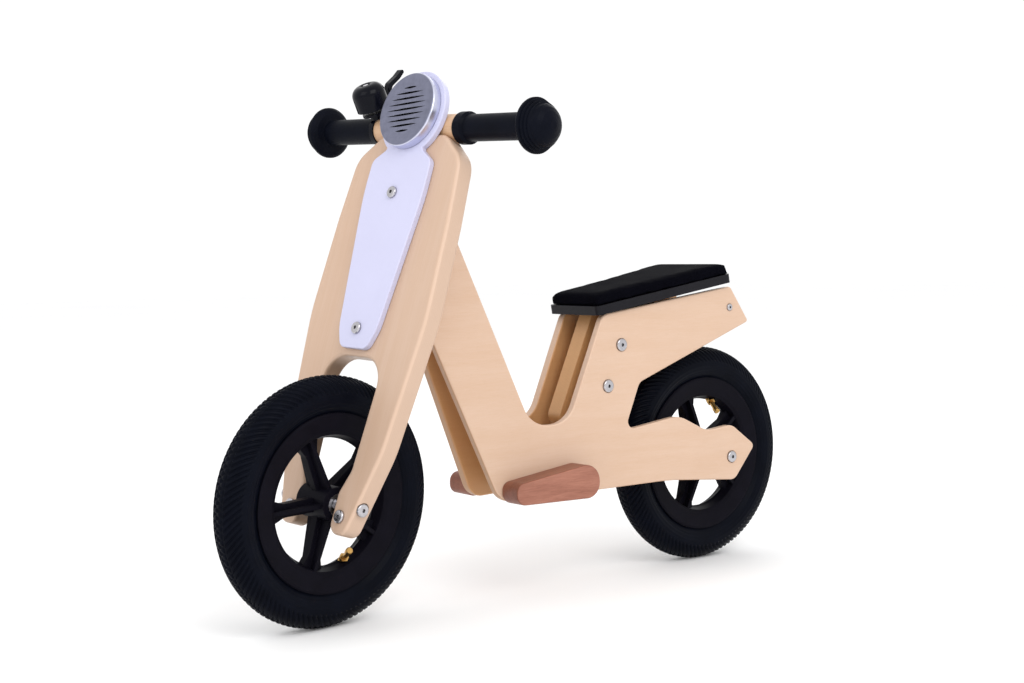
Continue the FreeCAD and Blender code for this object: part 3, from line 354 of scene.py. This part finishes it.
def dress(piece, slot, mat=None):
    """Gives a piece the material of its slot, or another one."""
    piece.data.materials.clear()
    piece.data.materials.append(MATS[mat or slot])


for name, node in NODES.items():
    dress(node, SLOT_OF[name], OWN_LOOK.get(name))


# ---------------------------------------------------------------- tyres

# Millimetres, on the tyre's section: distance along the axle, and radius
TOE, TOE_RADIUS, BEAD_RADIUS = 15.4, 101.7, 108.5
HALF_WIDTH, WIDEST_RADIUS, CROWN_RADIUS = 22.5, 128.0, 150.0
TREAD_BLOCKS = 112
TREAD_DEPTH = 2.0
RIB_SLANT = 0.105          # blocks gained for each millimetre away from the crown
SIDEWALL_RUN = 20.0        # how far from the crown the sidewall begins, along the section
PLAIN_RADIUS = 109.0       # nothing is raised or cut inside this radius
# Raised rings on the sidewall: radius, height, width
RINGS = ((114.6, 0.7, 0.8), (118.6, 0.5, 0.6), (124.0, 0.5, 0.6))


def soft_step(value, low, high):
    t = np.clip((value - low) / (high - low), 0, 1)
    return t * t * (3 - 2 * t)


def arc(a, b, c, count):
    """Points along the circle through three points."""
    a, b, c = np.array(a), np.array(b), np.array(c)
    centre = np.linalg.solve(np.array([b - a, c - a]) * 2, np.array([b @ b - a @ a, c @ c - a @ a]))
    t0, t1 = [math.atan2(*(p - centre)[::-1]) for p in (a, c)]
    while t1 - t0 > math.pi:
        t1 -= 2 * math.pi
    while t1 - t0 < -math.pi:
        t1 += 2 * math.pi
    radius = np.linalg.norm(a - centre)
    return [centre + radius * np.array([math.cos(t), math.sin(t)]) for t in np.linspace(t0, t1, count)]


def tyre_section():
    """The tyre's outside from bead to bead, and the index of its crown."""
    height = CROWN_RADIUS - WIDEST_RADIUS
    side = arc((TOE, BEAD_RADIUS), (HALF_WIDTH * 0.93, 117.0), (HALF_WIDTH, WIDEST_RADIUS), 22)
    shoulder = (HALF_WIDTH * 0.7071, WIDEST_RADIUS + height * 0.7071)
    top = arc((HALF_WIDTH, WIDEST_RADIUS), shoulder, (0, CROWN_RADIUS), 40)
    half = [np.array((TOE, TOE_RADIUS))] + side + top[1:]
    other = [p * np.array((-1, 1)) for p in reversed(half[:-1])]
    return np.array(half + other), len(half) - 1


def tread_depth(turn, v):
    """How far the tread is cut in, in millimetres.
    turn counts blocks around the tyre, and v is the run in millimetres from the crown."""
    side = np.abs(v)
    slant = turn + RIB_SLANT * side
    shoulder = soft_step(side, 7.0, 9.0) * (1 - soft_step(side, 29.0, 34.0))
    groove = (1 - soft_step(np.abs((slant % 1.0) - 0.5) * 2, 0.25, 0.62)) * shoulder
    fine = (1 - soft_step(np.abs(((slant * 2 + 0.5) % 1.0) - 0.5) * 2, 0.1, 0.5)) * shoulder * 0.15
    knob = np.abs(((turn + np.sign(v) * 0.25) % 1.0) - 0.5) * 2
    middle = (1 - soft_step(side, 6.4, 7.2)) * (1 - soft_step(knob, 0.25, 0.55))
    rail = soft_step(side, 5.2, 6.0) * (1 - soft_step(side, 7.2, 8.0))
    split = 1 - soft_step(side, 0.5, 1.2)
    cuts = (groove, middle * 0.9, rail * 0.9, split * 0.6, fine)
    return TREAD_DEPTH * np.maximum.reduce(np.broadcast_arrays(*cuts))


def closed_ring(name, rows):
    """A mesh from rows of points around an axis, closed both around and across."""
    steps, count = rows.shape[:2]
    faces = []
    for i in range(steps):
        here, there = i * count, (i + 1) % steps * count
        for k in range(count):
            after = (k + 1) % count
            faces.append((here + k, here + after, there + after, there + k))
    mesh = bpy.data.meshes.new(name)
    mesh.from_pydata(rows.reshape(-1, 3).tolist(), [], faces)
    mesh.update()
    mesh.polygons.foreach_set("use_smooth", [True] * len(mesh.polygons))
    piece = bpy.data.objects.new(name, mesh)
    bpy.context.scene.collection.objects.link(piece)
    return piece


def tyre(name, node, centre, axis, start, body):
    """Tyre with slanted shoulder ribs, a knobbed crown and fine rings on its sidewalls."""
    section, crown = tyre_section()
    run = np.concatenate([[0], np.cumsum(np.linalg.norm(np.diff(section, axis=0), axis=1))])
    run = run - run[crown]
    steps = TREAD_BLOCKS * 10
    turn = np.arange(steps)[:, None] / steps * TREAD_BLOCKS
    v = run[None, :]
    radial = section[:, 1][None, :]
    sidewall = np.abs(v) > SIDEWALL_RUN
    rings = sum(high * np.exp(-((radial - at) / wide) ** 2) * sidewall for at, high, wide in RINGS)
    normal = np.gradient(section, axis=0)
    normal = np.stack([normal[:, 1], -normal[:, 0]], 1)
    normal /= np.linalg.norm(normal, axis=1)[:, None]
    if normal[crown, 1] < 0:
        normal = -normal
    lift = np.where(radial > PLAIN_RADIUS, rings - tread_depth(turn, v), 0.0)
    along = (section[None, :, 0] + lift * normal[None, :, 0]) / 1000
    radius = (section[None, :, 1] + lift * normal[None, :, 1]) / 1000
    first = Vector(start).normalized()
    second = Vector(axis).normalized().cross(first)
    angle = 2 * np.pi * np.arange(steps) / steps
    spoke = np.cos(angle)[:, None] * np.array(first) + np.sin(angle)[:, None] * np.array(second)
    rows = np.array(centre) + along[:, :, None] * np.array(Vector(axis).normalized())
    piece = closed_ring(name, rows + radius[:, :, None] * spoke[:, None, :])
    dress(piece, "tyre_rubber")
    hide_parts(node)
    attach(piece, body)


tyre("front_tyre_tread", "front_tyre", HUB, FORK_LEFT, FORK_AHEAD, "front_wheel")
tyre("rear_tyre_tread", "rear_tyre", REAR_HUB, CROSS, AHEAD, "rear_wheel")


# ---------------------------------------------------------------- seat

PUFF_FRAMES = 20
PUFF_LIMIT = 0.003         # metres that the cushion may swell
FLAT_BELOW = -0.004        # below this height from its middle the cushion lies on the seat's base
UNDERSIDE_SHARE = 0.1
CUSHION_SPREAD = (1.016, 1.02, 1.0, 1.0)


def bake(piece):
    """Applies a piece's modifiers."""
    graph = bpy.context.evaluated_depsgraph_get()
    made = bpy.data.meshes.new_from_object(piece.evaluated_get(graph))
    piece.modifiers.clear()
    piece.data = made


def points(piece):
    return np.array([v.co for v in piece.data.vertices])


def puff(pad):
    """Swells the cushion as cloth under pressure, and keeps its underside flat."""
    rest = points(pad)
    cloth = pad.modifiers.new("puff", "CLOTH")
    cloth.settings.quality = 6
    cloth.settings.mass = 0.3
    cloth.settings.tension_stiffness = 30
    cloth.settings.compression_stiffness = 30
    cloth.settings.bending_stiffness = 3
    cloth.settings.use_pressure = True
    cloth.settings.uniform_pressure_force = 4
    cloth.settings.effector_weights.gravity = 0
    cloth.point_cache.frame_start = 1
    cloth.point_cache.frame_end = PUFF_FRAMES
    for f in range(1, PUFF_FRAMES + 1):
        bpy.context.scene.frame_set(f)
    bake(pad)
    shift = points(pad) - rest
    length = np.linalg.norm(shift, axis=1, keepdims=True)
    shift *= np.minimum(1, PUFF_LIMIT / np.maximum(length, 1e-9))
    under = (rest - rest.mean(0)) @ np.array(SEAT_UP) < FLAT_BELOW
    shift[under] *= UNDERSIDE_SHARE
    pad.data.vertices.foreach_set("co", (rest + shift).reshape(-1))
    bpy.context.scene.frame_set(1)


def simulated_cushion():
    """The seat's upper tier, puffed from the CAD pad."""
    pad = bpy.data.objects.new("seat_pad", NODES["seat_cushion"].data.copy())
    bpy.context.scene.collection.objects.link(pad)
    remesh = pad.modifiers.new("even", "REMESH")
    remesh.mode = "VOXEL"
    remesh.voxel_size = 0.004
    bake(pad)
    puff(pad)
    middle = Vector(points(pad).mean(0))
    spread = Matrix.Diagonal(CUSHION_SPREAD)
    pad.data.transform(Matrix.Translation(middle) @ spread @ Matrix.Translation(-middle))
    smooth = pad.modifiers.new("even_out", "SMOOTH")
    smooth.factor = 0.5
    smooth.iterations = 2
    bake(pad)
    fine = pad.modifiers.new("fine", "SUBSURF")
    fine.levels = 1
    fine.render_levels = 1
    pad.data.polygons.foreach_set("use_smooth", [True] * len(pad.data.polygons))
    dress(pad, "seat_vinyl")
    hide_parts("seat_cushion")
    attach(pad, "seat")


simulated_cushion()


# ---------------------------------------------------------------- studio

FLOOR_HALF = 12.0
LAMP_TARGET = Vector((0, 0, 0.3))
# Soft lamps: name, place, side, power
LAMPS = (
    ("key", (0.6, 2.4, 2.2), 1.8, 34.0),
    ("front", (2.6, 0.4, 1.8), 1.6, 12.0),
    ("back", (-2.2, -1.6, 2.0), 1.6, 12.0),
)


def floor():
    corners = [(x * FLOOR_HALF, y * FLOOR_HALF, 0) for x, y in ((-1, -1), (1, -1), (1, 1), (-1, 1))]
    mesh = bpy.data.meshes.new("floor")
    mesh.from_pydata(corners, [], [(0, 1, 2, 3)])
    piece = bpy.data.objects.new("floor", mesh)
    bpy.context.scene.collection.objects.link(piece)
    g = Graph("floor")
    cloud = g.noise(g.place(), 1.4, 3.0)
    tint = g.mix(g.span(cloud, 0.3, 0.7), (0.97, 0.97, 0.97), (0.955, 0.955, 0.96))
    mesh.materials.append(g.finish(Base_Color=tint, Roughness=0.9, Specular_IOR_Level=0.1))


def lights():
    """An even white surround and three large lamps."""
    scene = bpy.context.scene
    world = bpy.data.worlds.new("studio")
    world.use_nodes = True
    background = world.node_tree.nodes["Background"]
    background.inputs["Color"].default_value = (1.0, 1.0, 1.0, 1.0)
    background.inputs["Strength"].default_value = 1.04
    scene.world = world
    scene.view_settings.view_transform = "Standard"
    for name, spot, size, power in LAMPS:
        data = bpy.data.lights.new(name, "AREA")
        data.shape = "SQUARE"
        data.size = size
        data.energy = power
        lamp = bpy.data.objects.new(name, data)
        lamp.location = spot
        lamp.rotation_mode = "QUATERNION"
        lamp.rotation_quaternion = (LAMP_TARGET - Vector(spot)).to_track_quat("-Z", "Y")
        scene.collection.objects.link(lamp)


CAMERA_PLACE = (1.25881, 1.58242, 0.44895)
CAMERA_LENS = 55.04        # on a sensor 36 wide
YAW, PITCH, ROLL = -2.235, -0.06210, -0.0166


def camera():
    """Ahead and to the left, a little above the seat."""
    data = bpy.data.cameras.new("camera")
    data.sensor_width = 36.0
    data.lens = CAMERA_LENS
    shot = bpy.data.objects.new("camera", data)
    bpy.context.scene.collection.objects.link(shot)
    ahead = Vector((math.cos(PITCH) * math.cos(YAW), math.cos(PITCH) * math.sin(YAW), math.sin(PITCH)))
    right = Vector((math.sin(YAW), -math.cos(YAW), 0))
    up = right.cross(ahead)
    leaned_right = right * math.cos(ROLL) + up * math.sin(ROLL)
    leaned_up = right * -math.sin(ROLL) + up * math.cos(ROLL)
    turn = Matrix((leaned_right, leaned_up, -ahead)).transposed().to_4x4()
    shot.matrix_world = Matrix.Translation(CAMERA_PLACE) @ turn
    bpy.context.scene.camera = shot


floor()
lights()
camera()
